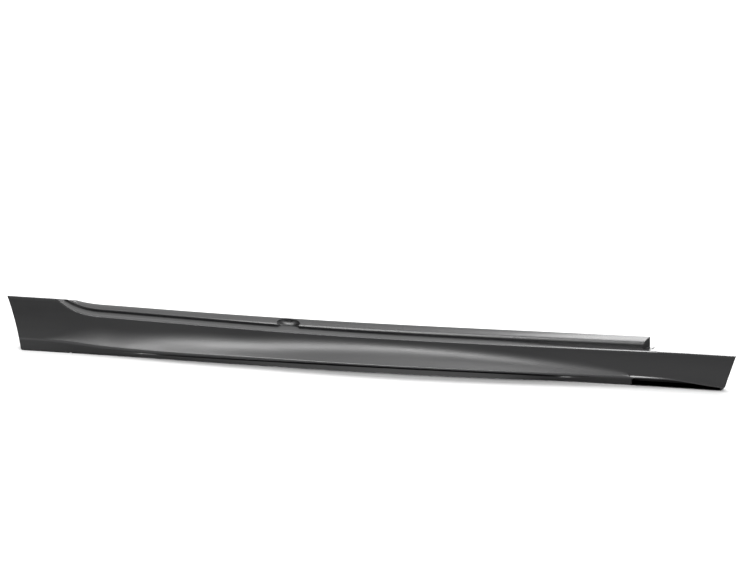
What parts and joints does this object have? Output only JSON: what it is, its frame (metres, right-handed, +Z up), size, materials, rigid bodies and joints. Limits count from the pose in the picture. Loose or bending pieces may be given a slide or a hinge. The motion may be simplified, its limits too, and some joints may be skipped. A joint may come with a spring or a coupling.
{
  "type": "car side skirt",
  "caption": "Long moulded plastic side skirt with a ledge and rail along its top, a flared side face, a tucked lower strip and a drilled floor flange.",
  "frame": {"origin": "middle of the screw row in the floor flange, on the flange's underside", "axes": "+X towards the front of the car, -Y is the outer face, +Z up"},
  "size_m": [2, 0.0986, 0.1558],
  "materials": {
    "skirt_plastic": "satin black moulded plastic with a fine grain"
  },
  "bodies": {
    "root": {"skirt_shell": "skirt_plastic"}
  },
  "joints": []
}
